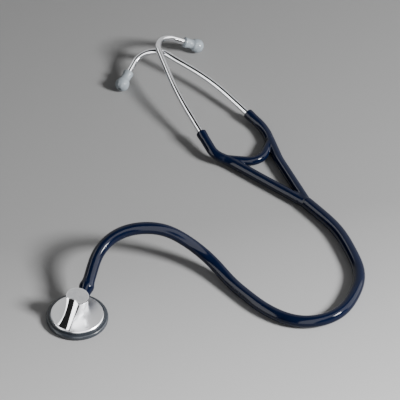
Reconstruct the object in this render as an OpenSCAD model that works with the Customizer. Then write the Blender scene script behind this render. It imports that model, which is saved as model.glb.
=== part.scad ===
// Single-sided acoustic stethoscope with a pressure-tuned diaphragm, laid on a table.
// Millimetres, +Z up. The origin is the centre of the chestpiece's contact face.

/* [Chestpiece] */
// Outside radius of the soft rim
rim_r = 25.9; // [25.5:0.1:26.5]
// Radius of the steel plate that shows inside the rim
plate_r = 22.1; // [21.8:0.1:22.2]
// Height of the plate's flat top
plate_top = 6.5; // [6.3:0.1:7]
// Radius of the round cap on top
cap_r = 9.4; // [9:0.1:9.8]
// Height of the cap's face
cap_top = 24; // [23.5:0.1:24.5]
// Tilt of the cap's face, in degrees
cap_tilt = 3; // [0:0.5:4]
// Centre of the cap over the plate, as x and y
cap_at = [0.4, 3.2]; // [0:0.1:4]
// Direction of the front ridge, in degrees from -Y towards -X
ridge_turn = 29; // [24:1:34]
// Half width of the ridge at its waist
ridge_waist = 5.9; // [5.5:0.1:6.5]
// Lengthwise radius of the scoop in the ridge
scoop_r = 32; // [30:1:34]
// Crosswise radius of the scoop
scoop_trough_r = 15.5; // [14:0.5:16]

/* [Diaphragm] */
// Radius of the stiff diaphragm
diaphragm_r = 21.2; // [20.8:0.1:21.4]
// Thickness of the diaphragm
diaphragm_t = 0.4; // [0.3:0.05:0.5]

/* [Stem] */
// Direction of the stem, in degrees from +Y towards +X
stem_turn = 22; // [20:1:24]
// Rise of the stem, in degrees
stem_rise = 20; // [18:1:22]
// Radius of the stem over its barbs
barb_r = 3.6; // [3.4:0.1:3.8]

/* [Tubing] */
// Outside diameter of the main tube
tube_d = 10.3; // [10:0.1:10.5]
// Diameter of each of the two sound channels
lumen_d = 3.1; // [2.8:0.1:3.2]
// Distance between the two channels
lumen_pitch = 4.4; // [4.2:0.1:4.6]
// Outside diameter of the fork's legs and arms
leg_d = 8.3; // [8:0.1:8.5]
// Outside diameter of the spring bridge between the legs
bridge_d = 7; // [6.8:0.1:7.2]
// Largest radius of the bulge over the stem's barbs
collar_r = 6.35; // [6:0.05:6.5]

/* [Headset] */
// Outside diameter of the steel ear tubes
ear_d = 5.2; // [5:0.1:5.3]
// Wall of the ear tubes
ear_wall = 0.8; // [0.7:0.05:0.9]
// Depth of an ear tube in its arm
socket_depth = 14; // [13:0.5:15]
// Radius of the inward hook at the top of an ear tube
hook_r = 19; // [18.5:0.5:20]
// Turn of the hook, in degrees
hook_turn = 100; // [98:1:101]
// Overall length of an eartip
tip_len = 18.5; // [18:0.5:19]
// Largest radius of an eartip
tip_r = 5.9; // [5.7:0.1:6]

/* [Hidden] */
$fn = 64;

// Running clearance between pieces that move on each other
slip = 0.06;
// Gap left where the main tube bends, and where the arms swing
bend_gap = 1.4;
arm_gap = 1.9;

// Corners of the main tube's centreline as it lies: x, y, z and bend radius
stem_from = [0, 0, 10.5];
stem_dir = [cos(stem_rise) * sin(stem_turn), cos(stem_rise) * cos(stem_turn), sin(stem_rise)];
stem_corner = stem_from + 32 * stem_dir;
tube_way = [
    [stem_from[0], stem_from[1], stem_from[2], 0],
    [stem_corner[0], stem_corner[1], stem_corner[2], 28],
    [18, 71.5, 37, 44],
    [72, 72.5, 34, 26],
    [106, 67.5, 12.5, 62],
    [126.5, 37.5, 5.2, 56],
    [155, 6, 5.2, 59],
    [182.5, -11.5, 5.2, 37],
    [219, -3.5, 5.2, 36],
    [237.5, 45, 5.2, 46],
    [217.5, 99, 5.2, 90],
    [186, 136, 5.2, 0]
];
// Places along the main tube where it bends: each is the end of one length of tube
bend_at = [38, 107.5, 214, 282.8, 330, 385, 440];

// Legs of the fork, each from the fork to the mouth of its ear-tube socket
left_way = [[184.4, 134.6, 5.2, 0], [127, 179.5, 5.2, 30], [113.5, 184.5, 8.6, 16], [102.4, 205.6, 13.4, 0]];
right_way = [[187.6, 137.4, 5.2, 0], [167.2, 182, 4.9, 66], [155.6, 219, 4.6, 40], [141.4, 234.6, 7.45, 0]];
// Places along the legs where the arms swing open
left_hinge_at = 79.2;
right_hinge_at = 74.5;
// Centreline of the spring bridge
bridge_way = [[124, 181.4, 5.8, 0], [152.2, 178.6, 5.2, 14.5], [159.6, 201, 4.9, 0]];

// Bends of an ear tube from its socket up: length, turn and roll before the turn
ear_bow = [41.5, 11.4];
ear_lower = 24;
ear_upper = 25.5;
hook_roll = -3.9;
hook_len = hook_r * hook_turn * PI / 180;
tip_straight = 27.9;
// Directions in which the two ear tubes bow
left_bow = [0.74, 0.48, -0.54];
right_bow = [-0.74, -0.6, -0.31];

// ---- Lines in space: straights and round bends that follow a list of corners ----
function unit(v) = v / norm(v);
function place(w) = [w[0], w[1], w[2]];
function spin(v, axis, a) = v * cos(a) + cross(axis, v) * sin(a) + axis * (axis * v) * (1 - cos(a));
function square_to(v, t) = unit(v - t * (v * t));
function heading(way, k) = unit(place(way[k + 1]) - place(way[k]));
function turn(way, k) = acos(heading(way, k - 1) * heading(way, k));
function setback(way, k) = (k == 0 || k == len(way) - 1) ? 0 : way[k][3] * tan(turn(way, k) / 2);
function hinge_line(way, k) = unit(cross(heading(way, k - 1), heading(way, k)));
function span(way, k) = norm(place(way[k + 1]) - place(way[k])) - setback(way, k) - setback(way, k + 1);

// The side direction on each straight, carried round the bends without twist
function sides(way, side) = [
    for (k = 0, s = side; k < len(way) - 1;
         s = k < len(way) - 2 ? spin(s, hinge_line(way, k + 1), turn(way, k + 1)) : s, k = k + 1) s
];

// A part of a line is [start, direction, side, length, bend radius or 0, direction of the bend]
function straight_part(way, s, k) =
    [place(way[k]) + heading(way, k) * setback(way, k), heading(way, k), s[k], span(way, k), 0, s[k]];
function bend_part(way, s, k) = let (t = heading(way, k - 1))
    [place(way[k]) - t * setback(way, k), t, s[k - 1], way[k][3] * turn(way, k) * PI / 180, way[k][3],
     square_to(heading(way, k), t)];
function line(way, side) = let (s = sides(way, square_to(side, heading(way, 0)))) [
    for (k = [0:len(way) - 2], bent = [true, false])
        if (!bent || k > 0) bent ? bend_part(way, s, k) : straight_part(way, s, k)
];

// The frame [place, direction, side] at a distance s into one part
function inside(p, s) = p[4] == 0 ? [p[0] + p[1] * s, p[1], p[2]]
    : let (a = s / p[4] * 180 / PI, axis = cross(p[1], p[5]))
      [p[0] + p[4] * (p[5] * (1 - cos(a)) + p[1] * sin(a)), spin(p[1], axis, a), spin(p[2], axis, a)];
// Distance along the line to the start of part k
function reach(parts, k) = k == 0 ? 0 : reach(parts, k - 1) + parts[k - 1][3];
function whole(parts) = reach(parts, len(parts));
// The part that holds a distance s along the line, and the frame there
function part_at(parts, s, k = 0) =
    (k == len(parts) - 1 || s < parts[k][3]) ? k : part_at(parts, s - parts[k][3], k + 1);
function at(parts, s) = let (k = part_at(parts, s)) inside(parts[k], s - reach(parts, k));

// Turns its children from the Z axis and X axis to a frame's direction and side
module to_frame(f) {
    y = cross(f[1], f[2]);
    multmatrix([[f[2][0], y[0], f[1][0], f[0][0]],
                [f[2][1], y[1], f[1][1], f[0][1]],
                [f[2][2], y[2], f[1][2], f[0][2]],
                [0, 0, 0, 1]]) children();
}

// Six significant digits of x
function six(x) = x == 0 ? 0 : let (d = pow(10, 5 - floor(ln(abs(x)) / ln(10)))) round(x * d) / d;
// The next angle whose sine and cosine hold at six digits, so that parts turned by it meet exactly
function clean(a, k = 0) = let (b = a + k * 0.0002, c = six(cos(b)), s = six(sin(b)))
    (abs(c * c + s * s - 1) < 2e-9 || k > 3000) ? b : clean(a, k + 1);

// Carries its children from the start of a bend of radius r towards +X to its end
module past_bend(r, a) {
    translate([r, 0, 0]) rotate([0, a, 0]) translate([-r, 0, 0]) children();
}

// Draws a flat shape, the same when mirrored in X or Y, along a bend of radius r towards +X
module bend(r, a) {
    translate([r, 0, 0]) rotate([0, 180, 0]) rotate([-90, 0, 0])
        rotate_extrude(angle = a, $fn = 180) translate([r, 0]) children();
}

// Draws a flat shape along the line for a length, from a distance lo into part k. Each part starts in
// the frame where the part before it ends, and a bend is trimmed to that frame, so that faces meet.
module follow(parts, k, lo, length) {
    p = parts[k];
    run = min(p[3] - lo, length);
    more = length - run > 0.01 && k < len(parts) - 1;
    r = p[4];
    if (r == 0) {
        linear_extrude(run) children();
        if (more) translate([0, 0, run]) follow(parts, k + 1, 0, length - run) children();
    } else {
        roll = clean(atan2(cross(p[2], p[5]) * p[1], p[2] * p[5]));
        a = clean(run / r * 180 / PI);
        wide = 2 * r + 20;
        rotate(roll) {
            if (more) {
                intersection() {
                    bend(r, a + 1) rotate(roll) children();
                    past_bend(r, a) translate([-wide, -wide, -2 * wide]) cube(2 * wide);
                }
                past_bend(r, a) rotate(-roll) follow(parts, k + 1, 0, length - run) children();
            } else {
                bend(r, a) rotate(roll) children();
            }
        }
    }
}

// Draws a flat shape along the line from distance a to distance b
module along(parts, a, b) {
    k = part_at(parts, a);
    lo = a - reach(parts, k);
    to_frame(inside(parts[k], lo)) follow(parts, k, lo, b - a) children();
}

// ---- The lines of this object ----
// The channels lie side by side, level, where the tube forks
fork_dir = heading(tube_way, len(tube_way) - 2);
fork_side = cross([0, 0, 1], fork_dir);
tube_try = line(tube_way, [1, 0, 0]);
end_side = at(tube_try, whole(tube_try))[2];
end_roll = atan2(cross(end_side, fork_side) * fork_dir, end_side * fork_side);
start_side = spin(square_to([1, 0, 0], stem_dir), stem_dir, end_roll);
tube_line = line(tube_way, start_side);
tube_end = whole(tube_line);
left_line = line(left_way, [0, 0, 1]);
right_line = line(right_way, [0, 0, 1]);
bridge_line = line(bridge_way, [0, 0, 1]);

// An ear tube's line starts inside its socket; hand is 1 for the left and -1 for the right
function ear_line(arm, bow, hand) =
    let (mouth = at(arm, whole(arm)), t = mouth[1], s = square_to(bow, t), start = mouth[0] - t * socket_depth,
         first = [start, t, s, ear_lower + socket_depth, 0, s],
         f1 = inside(first, first[3]),
         second = [f1[0], f1[1], s, ear_bow[0], ear_bow[0] / ear_bow[1] * 180 / PI, f1[2]],
         f2 = inside(second, second[3]),
         third = [f2[0], f2[1], f2[2], ear_upper, 0, f2[2]],
         f3 = inside(third, third[3]),
         bend = spin(f3[2], f3[1], hand * hook_roll),
         fourth = [f3[0], f3[1], f3[2], hook_len, hook_r, bend],
         f4 = inside(fourth, fourth[3]),
         fifth = [f4[0], f4[1], f4[2], tip_straight, 0, f4[2]])
    [first, second, third, fourth, fifth];
left_ear_line = ear_line(left_line, left_bow, 1);
right_ear_line = ear_line(right_line, right_bow, -1);

// ---- Chestpiece ----
// Radius and height of the snap edge that the rim grips
snap_r = 23;
snap_low = 2.2;
snap_high = 3.3;
// The bell's hollow above the diaphragm
bell_r = 20;
bell_deep = 3.6;
// The rim's lip round the diaphragm, and the slot in which the diaphragm's ring floats
lip_r = 22.3;
slot_r = 23.5;
slot_low = 0.8;
slot_high = 2;
ring_t = 0.5;
ring_out = 23.3;
ring_in = 20.2;
// Distances along the stem from its start, under the cap
stem_in = 5;
tube_from = 13.5;
stem_out = 27;
stem_bore_r = 1.6;

module at_cap() {
    translate([cap_at[0], cap_at[1], cap_top]) rotate([0, cap_tilt, 0]) children();
}

module along_stem(t) {
    to_frame([stem_from + stem_dir * t, stem_dir, start_side]) children();
}

// Local +X runs down the ridge from the cap to the rim
module along_ridge() {
    translate([cap_at[0], cap_at[1], 0]) rotate(-90 - ridge_turn) children();
}

module plate() {
    edge = 0.6;
    rotate_extrude($fn = 180) polygon([
        [0, bell_deep], [bell_r, snap_low], [snap_r, snap_low], [snap_r, snap_high],
        [plate_r, snap_high], [plate_r, plate_top - edge], [plate_r - edge, plate_top],
        [0, plate_top]
    ]);
}

// The post flares out from its waist to the cap
module post() {
    waist_r = 5;
    waist_z = 13.5 - cap_top;
    foot_z = 6 - cap_top;
    draw_r = 11;
    at_cap() rotate_extrude($fn = 120) difference() {
        translate([0, foot_z]) square([cap_r, -foot_z]);
        translate([waist_r + draw_r, waist_z]) circle(draw_r, $fn = 120);
        translate([waist_r, foot_z]) square([cap_r, waist_z - foot_z]);
    }
}

// The ridge's sides are drawn in to a waist, and lean in towards their foot
module ridge() {
    side_r = 40;
    lean = 7.5;
    run = 24;
    foot = [10, 8.6, 7.5];
    intersection() {
        along_ridge() {
            difference() {
                translate([0, -12, 5]) cube([run, 24, cap_top - 6.2]);
                for (s = [-1, 1])
                    translate([11, s * ridge_waist, cap_top - 2]) rotate([-s * lean, 0, 0])
                        translate([0, s * side_r, -25]) cylinder(h = 40, r = side_r, $fn = 180);
            }
            translate([-foot[0], -foot[1] / 2, 5]) cube([2 * foot[0], foot[1], foot[2]]);
        }
        cylinder(h = 30, r = plate_r - 0.6, $fn = 180);
    }
}

// The scoop is a ring-shaped cut: it hollows the ridge along and across
module scoop() {
    centre = [34.2, 37];
    along_ridge() translate([centre[0], 0, centre[1]]) rotate([90, 0, 0])
        rotate_extrude($fn = 180) translate([scoop_r - scoop_trough_r, 0]) circle(scoop_trough_r, $fn = 120);
}

module chest_body() {
    inlay_r = cap_r - 0.7;
    color("silver") difference() {
        union() {
            plate();
            difference() {
                union() {
                    post();
                    ridge();
                    along_stem(1) cylinder(h = tube_from - 2, r = 5.4);
                }
                scoop();
            }
        }
        at_cap() translate([0, 0, -0.6]) cylinder(h = 2, r = inlay_r, $fn = 120);
        along_stem(stem_in) cylinder(h = 20, r = barb_r - 0.4);
        translate([0, 0, 1]) cylinder(h = stem_from[2] + 1, r = stem_bore_r);
        along_stem(0) cylinder(h = 10, r = stem_bore_r);
    }
}

module chest_cap() {
    face_r = cap_r - 0.7 - slip;
    color("gainsboro") intersection() {
        at_cap() translate([0, 0, -0.6 + slip]) cylinder(h = 0.6 - slip, r = face_r, $fn = 120);
        difference() {
            cylinder(h = 40, r = 30);
            scoop();
        }
    }
}

module chest_rim() {
    round_r = 1.7;
    shoulder = 4.4;
    lip_top = 6.1;
    color([0.3, 0.34, 0.38]) rotate_extrude($fn = 180) difference() {
        union() {
            translate([lip_r, 0]) square([rim_r - round_r - lip_r, shoulder]);
            translate([lip_r, round_r]) square([rim_r - lip_r, shoulder - 2 * round_r]);
            for (z = [round_r, shoulder - round_r]) translate([rim_r - round_r, z]) circle(round_r);
            translate([lip_r, 0]) square([1.1, lip_top - 0.3]);
            translate([lip_r + 0.55, lip_top - 0.55]) circle(0.55);
        }
        translate([lip_r - 1, slot_low]) square([slot_r - lip_r + 1, slot_high - slot_low]);
        translate([lip_r - 1, snap_low - slip]) square([snap_r - lip_r + 1 + slip, snap_high - snap_low + 2 * slip]);
    }
}

module chest_stem() {
    root_r = barb_r - 0.4 - slip;
    neck_r = 3;
    barb_long = 2.6;
    color("silver") along_stem(0) rotate_extrude() polygon(concat(
        [[stem_bore_r, stem_in + slip], [root_r, stem_in + slip], [root_r, tube_from], [neck_r, tube_from]],
        [for (t = [17, 20.5, 24], tip = [0, 1]) tip == 0 ? [barb_r, t] : [neck_r, t + barb_long]],
        [[neck_r, stem_out], [stem_bore_r, stem_out]]
    ));
}

module diaphragm() {
    color("whitesmoke") cylinder(h = diaphragm_t, r = diaphragm_r, $fn = 180);
}

// Soft surround: glued to the diaphragm's edge, floating in the rim's slot
module diaphragm_ring() {
    foot = slot_low + 0.1;
    color("dimgray") rotate_extrude($fn = 180) polygon([
        [ring_in, diaphragm_t], [diaphragm_r, diaphragm_t], [diaphragm_r, foot], [ring_out, foot],
        [ring_out, foot + ring_t], [ring_in, foot + ring_t]
    ]);
}

// ---- Tubing ----
navy = [0.07, 0.11, 0.2];

module two_channels() {
    for (s = [-1, 1]) translate([s * lumen_pitch / 2, 0]) circle(d = lumen_d, $fn = 32);
}

module tube_profile() {
    difference() {
        circle(d = tube_d);
        two_channels();
    }
}

// A length of main tube, cut short at each end so that the tube can bend there
module tube_length(a, b) {
    color(navy) along(tube_line, a + bend_gap / 2, b - bend_gap / 2) tube_profile();
}

// The end of the tube, pushed over the stem, which makes it bulge
module tube_collar() {
    bore_end = stem_out + 0.5;
    first = tube_line[0][3];
    color(navy) to_frame(at(tube_line, 0)) {
        difference() {
            rotate_extrude() polygon([
                [0, tube_from], [4.9, tube_from], [5.1, 17.5], [6.1, 20.5], [collar_r, 23], [6.1, 25.5],
                [tube_d / 2, first], [0, first]
            ]);
            translate([0, 0, tube_from - 1]) cylinder(h = bore_end - tube_from + 1, r = barb_r + slip);
            translate([0, 0, stem_out]) linear_extrude(first + 1 - stem_out) two_channels();
        }
        translate([0, 0, first]) follow(tube_line, 1, 0, bend_at[0] - bend_gap / 2 - first) tube_profile();
    }
}

module tube_arch() {
    tube_length(bend_at[0], bend_at[1]);
}

module tube_run() {
    tube_length(bend_at[1], bend_at[2]);
}

module tube_front() {
    tube_length(bend_at[2], bend_at[3]);
}

module tube_corner() {
    tube_length(bend_at[3], bend_at[4]);
}

module tube_side() {
    tube_length(bend_at[4], bend_at[5]);
}

module tube_return() {
    tube_length(bend_at[5], bend_at[6] - 4 * slip);
}

// The band spring lies in the bridge; slack widens the pocket that it lies in
module spring_band(slack) {
    band = [0.7, 4.4];
    along(bridge_line, 7 - slack, whole(bridge_line) - 7 + slack)
        square([band[0] + 2 * slack, band[1] + 2 * slack], center = true);
}

module leaf_spring() {
    color("lightslategray") spring_band(0);
}

// The fork: the tube's last length, two legs, and the bridge that holds the spring
module yoke() {
    arms = [[left_line, left_hinge_at - arm_gap / 2], [right_line, right_hinge_at - arm_gap / 2]];
    color(navy) difference() {
        union() {
            along(tube_line, bend_at[6] + bend_gap / 2, tube_end) circle(d = tube_d);
            translate(at(tube_line, tube_end)[0]) sphere(d = tube_d);
            for (arm = arms) along(arm[0], 0, arm[1]) circle(d = leg_d);
            along(bridge_line, 0, whole(bridge_line)) circle(d = bridge_d);
        }
        along(tube_line, bend_at[6], tube_end) two_channels();
        for (arm = arms) along(arm[0], 0, arm[1] + 1) circle(d = lumen_d, $fn = 32);
        spring_band(slip);
    }
}

// The upper end of a leg: it swings on the yoke and holds an ear tube
module arm(parts, hinge_at) {
    end = whole(parts);
    color(navy) difference() {
        along(parts, hinge_at + arm_gap / 2, end) circle(d = leg_d);
        along(parts, hinge_at, end - socket_depth + 1) circle(d = lumen_d, $fn = 32);
        to_frame(at(parts, end)) translate([0, 0, -socket_depth]) cylinder(h = socket_depth + 1, d = ear_d + slip);
    }
}

module left_arm() {
    arm(left_line, left_hinge_at);
}

module right_arm() {
    arm(right_line, right_hinge_at);
}

// ---- Ear tubes and eartips ----
// Distances along an ear tube's line, back from the eartip's end
tube_stop = 9;
cuff = 4.3;
nipple_deep = 6;
nipple_out = 5;
rib_r = 3.1;

module ear_tube(parts) {
    last = whole(parts) - tube_stop - slip;
    color("silver") along(parts, slip, last) difference() {
        circle(d = ear_d);
        circle(d = ear_d - 2 * ear_wall);
    }
}

module left_ear_tube() {
    ear_tube(left_ear_line);
}

module right_ear_tube() {
    ear_tube(right_ear_line);
}

// Turned end piece, pressed into the ear tube, with a rib that holds the eartip
module nipple(parts) {
    bore_r = 1.1;
    inner_r = ear_d / 2 - ear_wall - 2 * slip;
    neck_r = ear_d / 2 - 0.3;
    seat = nipple_deep;
    color("gainsboro") to_frame(at(parts, whole(parts) - tube_stop - nipple_deep)) rotate_extrude() polygon([
        [bore_r, 0], [inner_r, 0], [inner_r, seat], [neck_r, seat], [neck_r, seat + 1.6],
        [rib_r, seat + 3.2], [rib_r, seat + 4.4], [neck_r, seat + 4.4], [neck_r, seat + nipple_out],
        [bore_r, seat + nipple_out]
    ]);
}

module left_nipple() {
    nipple(left_ear_line);
}

module right_nipple() {
    nipple(right_ear_line);
}

// Soft eartip: a cuff over the ear tube's end, a waist and a bulb with a sound port
module eartip(parts) {
    waist_r = 3.9;
    port_r = 1.5;
    bulb_at = tip_len - tip_r;
    back = at(parts, whole(parts) - tip_len);
    color([0.6, 0.64, 0.68]) to_frame(back) rotate_extrude($fn = 96) difference() {
        union() {
            square([waist_r, bulb_at]);
            square([cuff, 2.5]);
            translate([cuff - 1, 2.5]) circle(1);
            intersection() {
                translate([0, bulb_at]) circle(tip_r);
                square([tip_r, tip_len]);
            }
        }
        square([ear_d / 2 + slip, tip_len - tube_stop + slip]);
        square([rib_r + slip, tip_len - tube_stop + nipple_out + slip]);
        square([port_r, tip_len + 1]);
    }
}

module left_eartip() {
    eartip(left_ear_line);
}

module right_eartip() {
    eartip(right_ear_line);
}

chest_body();
chest_cap();
chest_rim();
chest_stem();
diaphragm();
diaphragm_ring();
tube_collar();
tube_arch();
tube_run();
tube_front();
tube_corner();
tube_side();
tube_return();
yoke();
leaf_spring();
left_arm();
right_arm();
left_ear_tube();
right_ear_tube();
left_nipple();
right_nipple();
left_eartip();
right_eartip();
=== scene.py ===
"""A single-sided stethoscope lying on a table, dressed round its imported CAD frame.

Lengths in the lines and profiles below are millimetres, as in the CAD source, and MM turns them into metres.
"""
import math

import bmesh
import bpy
import numpy as np
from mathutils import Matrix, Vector


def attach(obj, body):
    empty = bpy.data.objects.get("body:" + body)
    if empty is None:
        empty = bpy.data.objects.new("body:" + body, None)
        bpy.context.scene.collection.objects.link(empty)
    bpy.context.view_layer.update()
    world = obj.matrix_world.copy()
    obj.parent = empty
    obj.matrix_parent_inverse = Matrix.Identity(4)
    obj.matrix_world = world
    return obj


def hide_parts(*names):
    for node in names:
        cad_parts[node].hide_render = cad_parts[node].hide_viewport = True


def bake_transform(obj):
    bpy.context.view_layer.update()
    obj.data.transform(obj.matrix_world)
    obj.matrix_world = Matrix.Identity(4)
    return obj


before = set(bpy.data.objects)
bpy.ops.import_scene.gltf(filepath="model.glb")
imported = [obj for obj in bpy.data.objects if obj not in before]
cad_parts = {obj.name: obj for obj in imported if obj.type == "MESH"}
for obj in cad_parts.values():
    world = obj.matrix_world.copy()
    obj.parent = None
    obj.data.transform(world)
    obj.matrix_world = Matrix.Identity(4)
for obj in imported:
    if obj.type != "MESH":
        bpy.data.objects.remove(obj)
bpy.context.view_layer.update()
MM = 0.001

# ---- Sizes that the CAD frame has too ----
TUBE_R = 5.15
LEG_R = 4.15
BRIDGE_R = 3.85
EAR_R = 2.6
EAR_WALL = 0.8
COLLAR_R = 6.35
SOCKET = 14.0
TIP_LEN = 18.5
TIP_R = 5.9
TIP_SEAT = 9.0
TUBE_FROM = 13.5

STEM_FROM = np.array([0.0, 0.0, 10.5])
STEM_TURN, STEM_RISE = math.radians(22), math.radians(20)
STEM_DIR = np.array([
    math.cos(STEM_RISE) * math.sin(STEM_TURN),
    math.cos(STEM_RISE) * math.cos(STEM_TURN),
    math.sin(STEM_RISE),
])
STEM_CORNER = STEM_FROM + 32 * STEM_DIR

# Corners of each line: x, y, z and the radius of the bend there
TUBE_WAY = [
    (*STEM_FROM, 0), (*STEM_CORNER, 28), (18, 71.5, 37, 44), (72, 72.5, 34, 26), (106, 67.5, 12.5, 62),
    (126.5, 37.5, 5.2, 56), (155, 6, 5.2, 59), (182.5, -11.5, 5.2, 37), (219, -3.5, 5.2, 36),
    (237.5, 45, 5.2, 46), (217.5, 99, 5.2, 90), (186, 136, 5.2, 0),
]
LEFT_WAY = [(184.4, 134.6, 5.2, 0), (127, 179.5, 5.2, 30), (113.5, 184.5, 8.6, 16), (102.4, 205.6, 13.4, 0)]
RIGHT_WAY = [(187.6, 137.4, 5.2, 0), (167.2, 182, 4.9, 66), (155.6, 219, 4.6, 40), (141.4, 234.6, 7.45, 0)]
BRIDGE_WAY = [(124, 181.4, 5.8, 0), (152.2, 178.6, 5.2, 14.5), (159.6, 201, 4.9, 0)]
LEFT_BOW = (0.74, 0.48, -0.54)
RIGHT_BOW = (-0.74, -0.6, -0.31)
# Distances along the tube and along each leg at which the CAD bends
BENDS = [38, 107.5, 214, 282.8, 330, 385, 440]
TUBE_NODES = ["tube_collar", "tube_arch", "tube_run", "tube_front", "tube_corner", "tube_side", "tube_return"]
LEFT_HINGE, RIGHT_HINGE = 79.2, 74.5


# ---- Lines in space ----
def unit(v):
    v = np.asarray(v, float)
    return v / np.linalg.norm(v)


def spun(v, axis, angle):
    c, s = math.cos(angle), math.sin(angle)
    return v * c + np.cross(axis, v) * s + axis * np.dot(axis, v) * (1 - c)


def square_to(v, t):
    return unit(v - t * np.dot(v, t))


class Line:
    """Straights and round bends, end to end.

    A part is (start, direction, side, length, bend radius or 0, direction of the bend).
    """

    def __init__(self, parts):
        self.parts = parts
        self.length = sum(p[3] for p in parts)

    @classmethod
    def through(cls, way, side=(0, 0, 1)):
        points = [np.array(w[:3], float) for w in way]
        heads = [unit(b - a) for a, b in zip(points, points[1:])]
        back = [0.0]
        for w, a, b in zip(way[1:], heads, heads[1:]):
            back.append(w[3] * math.tan(math.acos(np.dot(a, b)) / 2))
        back.append(0.0)
        s, parts = square_to(np.array(side, float), heads[0]), []
        for k, t in enumerate(heads):
            start = points[k] + t * back[k]
            span = np.linalg.norm(points[k + 1] - points[k]) - back[k] - back[k + 1]
            parts.append((start, t, s, span, 0, s))
            if k + 1 < len(heads):
                angle = math.acos(np.dot(t, heads[k + 1]))
                out = square_to(heads[k + 1], t)
                parts.append((start + t * span, t, s, way[k + 1][3] * angle, way[k + 1][3], out))
                s = spun(s, unit(np.cross(t, heads[k + 1])), angle)
        return cls(parts)

    def at(self, s):
        """(place, direction, side) at a distance s along the line; it runs on straight past either end."""
        for p in self.parts:
            if s <= p[3] or p is self.parts[-1]:
                return self.inside(p, s)
            s -= p[3]

    def extended(self, s):
        """The place at s, on a line that runs on straight past both ends."""
        if s < 0:
            return self.parts[0][0] + self.parts[0][1] * s
        return self.at(s)[0]

    @staticmethod
    def inside(p, s):
        start, t, side, _, r, out = p
        if r == 0:
            return start + t * s, t, side
        a, axis = s / r, np.cross(t, out)
        return start + r * (out * (1 - math.cos(a)) + t * math.sin(a)), spun(t, axis, a), spun(side, axis, a)


def ear_line(arm, bow_dir, hand):
    """The centreline of an ear tube from inside its socket to the end of its eartip."""
    lower, bow_len, bow_turn, upper = 24, 41.5, math.radians(11.4), 25.5
    hook_r, hook_turn, roll, tip = 19, math.radians(100), math.radians(-3.9), 27.9
    mouth, t, _ = arm.at(arm.length)
    s = square_to(np.array(bow_dir), t)
    parts = [(mouth - t * SOCKET, t, s, lower + SOCKET, 0, s)]
    bow = (bow_len, bow_len / bow_turn, 0)
    hook = (hook_r * hook_turn, hook_r, hand * roll)
    for length, radius, turn_roll in (bow, (upper, 0, 0), hook, (tip, 0, 0)):
        place, t, s = Line.inside(parts[-1], parts[-1][3])
        out = spun(s, t, turn_roll)
        parts.append((place, t, s if radius == 0 else out, length, radius, out))
    return Line(parts)


class Eased(Line):
    """A line whose bends run into one another, as a soft tube's do.

    Each place is a weighted mean along the given line, over a distance of about reach either way.
    """

    RUN_OUT = 40

    def __init__(self, line, reach, step=1.0):
        super().__init__(line.parts)
        spread = np.arange(-2.5 * reach, 2.5 * reach + step, step)
        weight = np.exp(-0.5 * (spread / reach) ** 2)
        weight /= weight.sum()
        self.stations = np.arange(-self.RUN_OUT, line.length + self.RUN_OUT + step, step)
        raw = {}
        for s in np.arange(self.stations[0] - 3 * reach, self.stations[-1] + 3 * reach, step):
            raw[round(float(s), 3)] = line.extended(float(s))
        keys = sorted(raw)
        track = np.array([raw[k] for k in keys])
        self.places = np.array([
            np.interp(s + spread, keys, track[:, i]) @ weight for s in self.stations for i in range(3)
        ]).reshape(-1, 3)
        heads = np.gradient(self.places, axis=0)
        self.heads = heads / np.linalg.norm(heads, axis=1)[:, None]
        side = square_to(line.parts[0][2], self.heads[0])
        sides = []
        for t in self.heads:
            side = square_to(side, t)
            sides.append(side)
        self.sides = np.array(sides)

    def at(self, s):
        place, t, side = (
            np.array([np.interp(s, self.stations, table[:, i]) for i in range(3)])
            for table in (self.places, self.heads, self.sides)
        )
        t = unit(t)
        return place, t, square_to(side, t)


EASE_REACH = 9
tube = Eased(Line.through(TUBE_WAY, (1, 0, 0)), EASE_REACH)
left_leg = Line.through(LEFT_WAY)
right_leg = Line.through(RIGHT_WAY)
bridge = Line.through(BRIDGE_WAY)
left_ear = ear_line(left_leg, LEFT_BOW, 1)
right_ear = ear_line(right_leg, RIGHT_BOW, -1)


# ---- Meshes ----
def add_object(name, mesh):
    obj = bpy.data.objects.new(name, mesh)
    bpy.context.scene.collection.objects.link(obj)
    return obj


def mesh_from(name, verts, faces, sharp_rings=(), around=0):
    mesh = bpy.data.meshes.new(name)
    mesh.from_pydata([tuple(v) for v in verts], [], faces)
    mesh.polygons.foreach_set("use_smooth", [True] * len(mesh.polygons))
    if sharp_rings:
        wanted = {r * around + k for r in sharp_rings for k in range(around)}
        for e in mesh.edges:
            a, b = e.vertices
            if a in wanted and b in wanted and a // around == b // around:
                e.use_edge_sharp = True
    mesh.validate()
    return mesh


def sweep(name, line, rings, around=48, sharp_ends=True):
    """A closed round bar along a line, with a flat disc at each end. rings is [(distance, radius), ...]."""
    verts, faces = [], []
    for s, r in rings:
        place, t, side = line.at(s)
        up = np.cross(t, side)
        for k in range(around):
            a = 2 * math.pi * k / around
            verts.append((place + r * (math.cos(a) * side + math.sin(a) * up)) * MM)
    last = len(rings) - 1
    for j in range(last):
        for k in range(around):
            n = (k + 1) % around
            faces.append((j * around + k, j * around + n, (j + 1) * around + n, (j + 1) * around + k))
    faces.append(tuple(reversed(range(around))))
    faces.append(tuple(last * around + k for k in range(around)))
    sharp = [0, last] if sharp_ends else []
    return add_object(name, mesh_from(name, verts, faces, sharp, around))


def even(a, b, step=1.0):
    count = max(2, int(math.ceil((b - a) / step)) + 1)
    return list(np.linspace(a, b, count))


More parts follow.
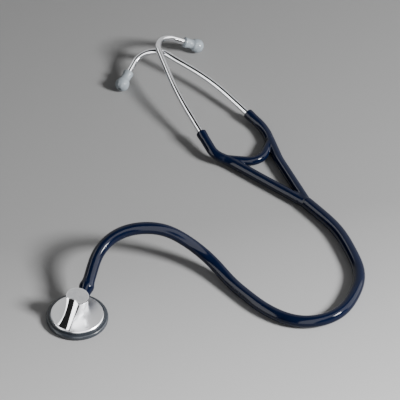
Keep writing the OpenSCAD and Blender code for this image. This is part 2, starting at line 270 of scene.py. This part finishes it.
def lathe(name, profile, place, t, side, around=96):
    """Turns a closed profile of (radius, height) points about the direction t through place."""
    up = np.cross(t, side)
    count = len(profile)
    verts, faces = [], []
    for r, h in profile:
        for k in range(around):
            a = 2 * math.pi * k / around
            verts.append((place + t * h + r * (math.cos(a) * side + math.sin(a) * up)) * MM)
    for j in range(count):
        i = (j + 1) % count
        for k in range(around):
            n = (k + 1) % around
            faces.append((j * around + k, j * around + n, i * around + n, i * around + k))
    obj = add_object(name, mesh_from(name, verts, faces))
    tidy_normals(obj)
    return obj


def tidy_normals(obj):
    bm = bmesh.new()
    bm.from_mesh(obj.data)
    bmesh.ops.recalc_face_normals(bm, faces=bm.faces)
    bm.to_mesh(obj.data)
    bm.free()


def arc(cx, cy, r, a0, a1, count):
    """Points on a circle from angle a0 to a1, in degrees."""
    return [
        (cx + r * math.cos(math.radians(a)), cy + r * math.sin(math.radians(a)))
        for a in np.linspace(a0, a1, count)
    ]


def baked(obj, *modifiers):
    """Applies modifiers, given as (kind, {setting: value}), and returns the object with its new mesh."""
    for kind, settings in modifiers:
        m = obj.modifiers.new(kind.lower(), kind)
        for key, value in settings.items():
            setattr(m, key, value)
    graph = bpy.context.evaluated_depsgraph_get()
    mesh = bpy.data.meshes.new_from_object(obj.evaluated_get(graph))
    obj.modifiers.clear()
    obj.data = mesh
    mesh.polygons.foreach_set("use_smooth", [True] * len(mesh.polygons))
    return obj


# ---- Materials ----
class Nodes:
    """A short way to write a material's node tree."""

    def __init__(self, name):
        self.material = bpy.data.materials.new(name)
        self.material.use_nodes = True
        self.tree = self.material.node_tree
        self.shader = self.tree.nodes["Principled BSDF"]
        self.coords = self.tree.nodes.new("ShaderNodeTexCoord").outputs["Object"]

    def node(self, kind, inputs=(), **settings):
        n = self.tree.nodes.new("ShaderNode" + kind)
        for key, value in settings.items():
            setattr(n, key, value)
        for key, value in dict(inputs).items():
            if isinstance(value, bpy.types.NodeSocket):
                self.tree.links.new(value, n.inputs[key])
            else:
                n.inputs[key].default_value = value
        return n

    def stretched(self, scale):
        return self.node("Mapping", {"Vector": self.coords, "Scale": scale}).outputs["Vector"]

    def noise(self, scale, detail, vector=None):
        inputs = {"Vector": vector or self.coords, "Scale": scale, "Detail": detail}
        return self.node("TexNoise", inputs).outputs["Fac"]

    def ramp(self, fac, stops):
        n = self.node("ValToRGB", {"Fac": fac})
        elements = n.color_ramp.elements
        while len(elements) < len(stops):
            elements.new(0.5)
        for e, (at, colour) in zip(elements, stops):
            e.position = at
            e.color = (*colour, 1) if len(colour) == 3 else colour
        return n.outputs["Color"]

    def spread(self, fac, low, high):
        return self.node("MapRange", {"Value": fac, "To Min": low, "To Max": high}).outputs["Result"]

    def set(self, **values):
        for key, value in values.items():
            socket = self.shader.inputs[key.replace("_", " ")]
            if isinstance(value, bpy.types.NodeSocket):
                self.tree.links.new(value, socket)
            else:
                socket.default_value = value
        return self

    def bump(self, height, strength, distance):
        n = self.node("Bump", {"Height": height, "Strength": strength, "Distance": distance})
        self.tree.links.new(n.outputs["Normal"], self.shader.inputs["Normal"])
        return self


def navy_tubing():
    n = Nodes("navy_tubing")
    cloud = n.noise(60, 4)
    n.set(
        Base_Color=n.ramp(cloud, [(0.3, (0.0030, 0.0070, 0.026)), (0.7, (0.0040, 0.0092, 0.034))]),
        Roughness=n.spread(n.noise(350, 3), 0.08, 0.12),
        IOR=1.5,
        Specular_IOR_Level=0.2,
    )
    return n.bump(n.noise(1400, 2), 0.03, 0.0003).material


# The heights between which the plate's finish gives way to the polish
PLATE_TOP = (6.52 * MM, 6.6 * MM)


def mirror_steel():
    """Polished all over, but for the finely turned plate under the ridge."""
    n = Nodes("mirror_steel")
    height = n.node("SeparateXYZ", {"Vector": n.coords}).outputs["Z"]
    low, high = PLATE_TOP
    above_plate = n.node("MapRange", {"Value": height, "From Min": low, "From Max": high}).outputs["Result"]
    polish = n.spread(n.noise(90, 3, n.stretched((1, 14, 1))), 0.04, 0.07)
    turned = n.spread(n.noise(70, 3, n.stretched((14, 1, 1))), 0.3, 0.36)
    finish = n.node("Mix", {"Factor": above_plate, "A": turned, "B": polish}).outputs["Result"]
    n.set(
        Base_Color=n.ramp(n.noise(25, 2), [(0.3, (0.84, 0.85, 0.87)), (0.7, (0.92, 0.925, 0.94))]),
        Metallic=1.0,
        Roughness=finish,
    )
    return n.bump(n.noise(220, 2), 0.02, 0.0002).material


def satin_steel(name, low, high):
    n = Nodes(name)
    brushed = n.noise(400, 4)
    n.set(
        Base_Color=n.ramp(brushed, [(0.3, (0.66, 0.67, 0.69)), (0.7, (0.78, 0.785, 0.8))]),
        Metallic=1.0,
        Roughness=n.spread(brushed, low, high),
    )
    return n.bump(brushed, 0.06, 0.0001).material


def soft_rubber(name, dark, light, rough):
    n = Nodes(name)
    n.set(
        Base_Color=n.ramp(n.noise(120, 4), [(0.3, dark), (0.7, light)]),
        Roughness=n.spread(n.noise(500, 3), rough - 0.05, rough + 0.08),
        IOR=1.48,
    )
    return n.bump(n.noise(1800, 2), 0.08, 0.0002).material


def silicone():
    n = Nodes("grey_silicone")
    n.set(
        Base_Color=n.ramp(n.noise(90, 3), [(0.3, (0.36, 0.41, 0.45)), (0.7, (0.42, 0.47, 0.51))]),
        Roughness=n.spread(n.noise(400, 3), 0.1, 0.16),
        Subsurface_Weight=0.15,
        Subsurface_Radius=(0.002, 0.002, 0.002),
        Subsurface_Scale=0.5,
        IOR=1.43,
    )
    return n.bump(n.noise(900, 2), 0.05, 0.0002).material


def table_top():
    """A pale matt sheet with painted light in its colour: lighter towards the front right and darker far
    back, where the studio light falls off.
    """
    n = Nodes("table_sheet")
    split = n.node("SeparateXYZ", {"Vector": n.coords})
    across = n.node("MapRange", {"Value": split.outputs["X"], "From Min": -0.07, "From Max": 0.27})
    along = n.node("MapRange", {"Value": split.outputs["Y"], "From Min": 0.38, "From Max": -0.1})
    painted_light_depth = n.node("Math", {0: along.outputs["Result"], 1: 0.9}, operation="MULTIPLY")
    side = n.node("Math", {0: across.outputs["Result"], 1: 0.1}, operation="MULTIPLY")
    both = n.node("Math", {0: painted_light_depth.outputs["Value"], 1: side.outputs["Value"]}, operation="ADD")
    # The ramp paints the studio light's falloff into the sheet's colour: painted shade far back, painted
    # light near the front.
    n.set(
        Base_Color=n.ramp(both.outputs["Value"], [(0, FLOOR_FAR), (0.55, FLOOR_MID), (1, FLOOR_NEAR)]),
        Roughness=0.85,
        Specular_IOR_Level=0.15,
    )
    return n.bump(n.noise(900, 3), 0.05, 0.0003).material


# Sheet colours that carry painted light: shaded far back, lit much brighter near the front.
FLOOR_FAR = (0.33, 0.33, 0.33)
FLOOR_MID = (0.43, 0.43, 0.43)
FLOOR_NEAR = (0.80, 0.80, 0.80)

NAVY = navy_tubing()
MIRROR = mirror_steel()
SATIN = satin_steel("satin_steel", 0.28, 0.36)
EAR_STEEL = satin_steel("drawn_steel", 0.07, 0.11)
RIM = soft_rubber("rim_rubber", (0.04, 0.047, 0.058), (0.055, 0.065, 0.08), 0.24)
RING = soft_rubber("ring_rubber", (0.010, 0.010, 0.012), (0.016, 0.016, 0.018), 0.5)
SPRING = satin_steel("blued_spring", 0.3, 0.4)
SILICONE = silicone()


def painted(obj, material):
    obj.data.materials.clear()
    obj.data.materials.append(material)
    return obj


def resin():
    n = Nodes("diaphragm_resin")
    n.set(
        Base_Color=n.ramp(n.noise(70, 3), [(0.3, (0.60, 0.61, 0.60)), (0.7, (0.68, 0.69, 0.68))]),
        Roughness=n.spread(n.noise(300, 3), 0.25, 0.34),
    )
    return n.bump(n.noise(1500, 2), 0.05, 0.0001).material


# ---- The main tube: each piece crosses one of the CAD's bends ----
def tube_radius(s):
    """The tube swells over the stem's barbs and narrows to its mouth."""
    if s > 31:
        return TUBE_R
    swell = (COLLAR_R - TUBE_R) * math.exp(-(((s - 22.5) / 3.9) ** 2))
    neck = 0.55 * max(0.0, (17.5 - s) / 4) ** 1.3
    return TUBE_R + swell - neck


def soften(a, b):
    """Distances and radii at a tube's free end, with its edge rounded."""
    edge = 0.7
    quarter = np.linspace(0, math.pi / 2, 5)
    return [(a + edge * (1 - math.cos(t)), b - edge * (1 - math.sin(t))) for t in quarter]


# The pieces meet on the straights between the bends; the last meets the fork
FORK_FROM = 450
cuts = [TUBE_FROM, 72, 160, 248, 306, 357, 412, FORK_FROM]
# A distance either side of each bend, at which the tube's places are worked out
BLEND_REACH = 13
for k, bend_s in enumerate(BENDS):
    a, b = cuts[k], cuts[k + 1]
    rings = [(s, tube_radius(s)) for s in even(a, b)]
    if k == 0:
        rings = soften(a, tube_radius(a)) + [r for r in rings if r[0] > a + 0.8]
    piece = painted(sweep(f"tubing_{k + 1}", tube, rings), NAVY)
    Vector(tube.at(bend_s - BLEND_REACH)[0] * MM)
    Vector(tube.at(bend_s + BLEND_REACH)[0] * MM)
    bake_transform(piece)
    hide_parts(TUBE_NODES[k])


# ---- The fork: tube end, legs and sprung bridge in one moulding ----
# What smoothing takes off the fork's bars
FORK_SHRINK = 0.12


def ease(t):
    t = min(1.0, max(0.0, t))
    return t * t * (3 - 2 * t)


def trunk_radius(s):
    """The trunk narrows to the legs' thickness and runs out between them."""
    past = s - tube.length
    return TUBE_R + FORK_SHRINK - (TUBE_R - LEG_R) * ease((past + 13) / 14) - 1.7 * ease(past / 7)


def leg_rings(end):
    """A leg starts slender, inside the trunk."""
    return [(s, LEG_R + FORK_SHRINK - 1.4 * (1 - ease((s + 14) / 8))) for s in even(-14, end)]


# The arms' covers start this far before the hinges, and the fork's legs end 1 mm inside them
ARM_LAP = 1.5
bars = [
    sweep("fork_trunk", tube, [(s, trunk_radius(s)) for s in even(FORK_FROM, tube.length + 6)]),
    sweep("fork_left", left_leg, leg_rings(LEFT_HINGE - ARM_LAP + 1)),
    sweep("fork_right", right_leg, leg_rings(RIGHT_HINGE - ARM_LAP + 1)),
    sweep("fork_bridge", bridge, [(s, BRIDGE_R) for s in even(0, bridge.length)]),
]
fork = bars[0]
joined = bmesh.new()
for bar in bars:
    joined.from_mesh(bar.data)
mesh = bpy.data.meshes.new("fork")
joined.to_mesh(mesh)
joined.free()
for bar in bars:
    bpy.data.objects.remove(bar)
fork = baked(
    add_object("fork", mesh),
    ("REMESH", {"mode": "VOXEL", "voxel_size": 0.35 * MM}),
    ("SMOOTH", {"factor": 0.5, "iterations": 24}),
)
painted(fork, NAVY)
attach(fork, "yoke")
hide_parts("yoke")
painted(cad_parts["leaf_spring"], SPRING)


# ---- The arms: the legs' upper ends, which hold the ear tubes ----
def make_arm(side, line, hinge):
    """The cover of an arm, which fills out a little towards its rounded mouth."""
    mouth = line.length
    lip, fullness, full_from = 0.9, 0.25, mouth - 7
    rings = [(s, LEG_R) for s in even(hinge - ARM_LAP, full_from)]
    rings += [
        (s, LEG_R + fullness * math.sin(math.pi * (s - full_from) / 12))
        for s in even(full_from + 0.6, mouth - lip, 0.6)
    ]
    end_r = rings[-1][1]
    rings += [
        (mouth - lip + lip * math.sin(t), end_r - lip * (1 - math.cos(t)))
        for t in np.linspace(0.2, math.pi / 2, 6)
    ]
    arm = painted(sweep(f"{side}_arm_cover", line, rings, sharp_ends=False), NAVY)
    Vector(line.at(hinge - 1)[0] * MM)
    Vector(line.at(hinge + 8)[0] * MM)
    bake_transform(arm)
    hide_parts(f"{side}_arm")


def make_ear_tube(side, line):
    """An open metal pipe, with its bore, from its socket to the eartip's seat."""
    inner = EAR_R - EAR_WALL
    stations = even(0.1, line.length - TIP_SEAT, 0.8)
    verts, faces, around = [], [], 32
    rings = [(s, EAR_R) for s in stations] + [(s, inner) for s in reversed(stations)]
    for s, r in rings:
        place, t, out = line.at(s)
        up = np.cross(t, out)
        for k in range(around):
            a = 2 * math.pi * k / around
            verts.append((place + r * (math.cos(a) * out + math.sin(a) * up)) * MM)
    for j in range(len(rings)):
        i = (j + 1) % len(rings)
        for k in range(around):
            n = (k + 1) % around
            faces.append((j * around + k, j * around + n, i * around + n, i * around + k))
    half = len(stations)
    mesh = mesh_from(f"{side}_ear_pipe", verts, faces, [0, half - 1, half, 2 * half - 1], around)
    pipe = painted(add_object(f"{side}_ear_pipe", mesh), EAR_STEEL)
    tidy_normals(pipe)
    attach(pipe, f"{side}_arm")
    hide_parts(f"{side}_ear_tube")
    painted(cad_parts[f"{side}_nipple"], SATIN)


def make_eartip(side, line):
    """A soft tip: cuff, drawn-in waist, and a rounded bulb with a sound port."""
    place, t, out = line.at(line.length - TIP_LEN)
    waist_r, cuff_r, port_r = 3.95, 4.35, 1.6
    waist_h, shoulder_h, widest_h = 5.0, 8.2, TIP_LEN - TIP_R + 0.4
    bore_r, bore_h, seat_r, seat_h = 2.66, 9.56, 3.16, 14.56
    outer = arc(cuff_r - 0.8, 0.8, 0.8, -90, 0, 5)
    outer += [
        ((cuff_r + waist_r + (cuff_r - waist_r) * math.cos(a)) / 2, 2.0 + (waist_h - 2.0) * a / math.pi)
        for a in np.linspace(0, math.pi, 9)
    ]
    outer += [
        (
            waist_r + (TIP_R - waist_r) * math.sin(a),
            widest_h - (widest_h - shoulder_h) * math.cos(a) ** 1.5,
        )
        for a in np.linspace(0.1, math.pi / 2, 12)
    ]
    dome = [
        (TIP_R * math.cos(a), widest_h + (TIP_LEN - widest_h) * math.sin(a))
        for a in np.linspace(0.08, 1.5, 22)
    ]
    outer += [p for p in dome if p[0] > port_r + 0.6]
    rim_h = outer[-1][1]
    outer += [(port_r + 0.25, rim_h + 0.1), (port_r, rim_h - 0.25), (port_r, seat_h)]
    inner = [(seat_r, seat_h), (seat_r, bore_h), (bore_r, bore_h), (bore_r, 0.0)]
    tip = painted(lathe(f"{side}_soft_tip", outer + inner, place, t, out), SILICONE)
    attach(tip, f"{side}_eartip")
    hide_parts(f"{side}_eartip")


for side, leg, hinge, ear in (
    ("left", left_leg, LEFT_HINGE, left_ear),
    ("right", right_leg, RIGHT_HINGE, right_ear),
):
    make_arm(side, leg, hinge)
    make_ear_tube(side, ear)
    make_eartip(side, ear)


# ---- Chestpiece ----
for node, material in (
    ("chest_body", MIRROR), ("chest_cap", SATIN), ("chest_stem", SATIN), ("chest_rim", RIM),
    ("diaphragm", resin()), ("diaphragm_ring", RING),
):
    obj = painted(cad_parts[node], material)
    bpy.context.view_layer.objects.active = obj
    obj.data.polygons.foreach_set("use_smooth", [True] * len(obj.data.polygons))
    obj.data.set_sharp_from_angle(angle=math.radians(24))


# ---- Stage ----
AMBIENT = 0.15
# Levels of the studio as mirrored rays see it: a backdrop, a panel on each side, and the gap between them
BACKDROP, PANEL_LEFT, PANEL_RIGHT, GAP = 0.8, 4.0, 3.6, 0.02


def step_between(value, low, high, before, after):
    """A smooth change from one level to another as a value passes from low to high."""
    n = tree.nodes.new("ShaderNodeMapRange")
    n.interpolation_type = "SMOOTHSTEP"
    for key, v in (("From Min", low), ("From Max", high), ("To Min", before), ("To Max", after)):
        n.inputs[key].default_value = v
    tree.links.new(value, n.inputs["Value"])
    return n.outputs["Result"]


def world_math(operation, a, b):
    n = tree.nodes.new("ShaderNodeMath")
    n.operation = operation
    for k, v in enumerate((a, b)):
        if isinstance(v, float):
            n.inputs[k].default_value = v
        else:
            tree.links.new(v, n.inputs[k])
    return n.outputs["Value"]


world = bpy.data.worlds.new("studio")
bpy.context.scene.world = world
world.use_nodes = True
tree = world.node_tree
towards = tree.nodes.new("ShaderNodeSeparateXYZ")
tree.links.new(tree.nodes.new("ShaderNodeTexCoord").outputs["Generated"], towards.inputs["Vector"])
across, away, upward = (towards.outputs[k] for k in "XYZ")
# The gap lies askew, so that the ridge mirrors a dark strip down its whole length
askew = world_math("MULTIPLY_ADD", away, -0.474)
askew.node.inputs[2].default_value = 0.141
off_gap = world_math("ADD", across, askew)
squeeze = step_between(away, -0.7, 0.4, 1.0, 0.62)
from_gap = world_math("MULTIPLY", off_gap, squeeze)
left_near = step_between(from_gap, -0.35, -0.31, PANEL_LEFT, 0.0)
left_far = step_between(off_gap, -0.76, -0.70, 0.0, 1.0)
left_panel = world_math("MULTIPLY", left_near, left_far)
right_near = step_between(from_gap, 0.31, 0.35, 0.0, PANEL_RIGHT)
right_far = step_between(from_gap, 0.8, 0.9, 1.0, 0.0)
right_panel = world_math("MULTIPLY", right_near, right_far)
panels = world_math("ADD", world_math("ADD", left_panel, right_panel), GAP)
in_front = step_between(away, 0.5, 0.6, 1.0, 0.0)
backdrop = step_between(away, 0.5, 0.6, 0.0, BACKDROP)
level = world_math("ADD", world_math("MULTIPLY", panels, in_front), backdrop)
# Only mirrored rays see them, so that they shape the reflections and leave the shadows deep
mirrored = tree.nodes.new("ShaderNodeLightPath").outputs["Is Glossy Ray"]
choice = tree.nodes.new("ShaderNodeMix")
choice.inputs["A"].default_value = AMBIENT
tree.links.new(mirrored, choice.inputs["Factor"])
tree.links.new(level, choice.inputs["B"])
tree.links.new(choice.outputs["Result"], tree.nodes["Background"].inputs["Color"])

floor_size = 3.0
mesh = bpy.data.meshes.new("table_sheet")
corners = [(x * floor_size, y * floor_size, 0) for x, y in ((-1, -1), (1, -1), (1, 1), (-1, 1))]
mesh.from_pydata(corners, [], [(0, 1, 2, 3)])
floor = painted(add_object("table_sheet", mesh), table_top())

TARGET = Vector((101.67, 139.3, 0)) * MM


def area_light(name, direction, distance, size, power):
    data = bpy.data.lights.new(name, "AREA")
    data.shape = "DISK"
    data.size = size
    data.energy = power
    obj = bpy.data.objects.new(name, data)
    bpy.context.scene.collection.objects.link(obj)
    towards = Vector(direction).normalized()
    obj.location = TARGET + towards * distance
    obj.rotation_mode = "QUATERNION"
    obj.rotation_quaternion = (-towards).to_track_quat("-Z", "Y")
    return obj


area_light("key", (1.37, -0.57, 1), 2.0, 0.52, 60)

camera_data = bpy.data.cameras.new("camera")
camera = bpy.data.objects.new("camera", camera_data)
bpy.context.scene.collection.objects.link(camera)
CAMERA_FAR, FIELD, SENSOR = 15.0, 0.3333, 36.0
camera_data.sensor_width = SENSOR
camera_data.lens = SENSOR * CAMERA_FAR / FIELD
camera_data.clip_end = 2 * CAMERA_FAR
tilt = math.radians(45)
back = Vector((0, -math.cos(tilt), math.sin(tilt)))
camera.location = TARGET + back * CAMERA_FAR
camera.rotation_mode = "QUATERNION"
camera.rotation_quaternion = (-back).to_track_quat("-Z", "Y")
bpy.context.scene.camera = camera
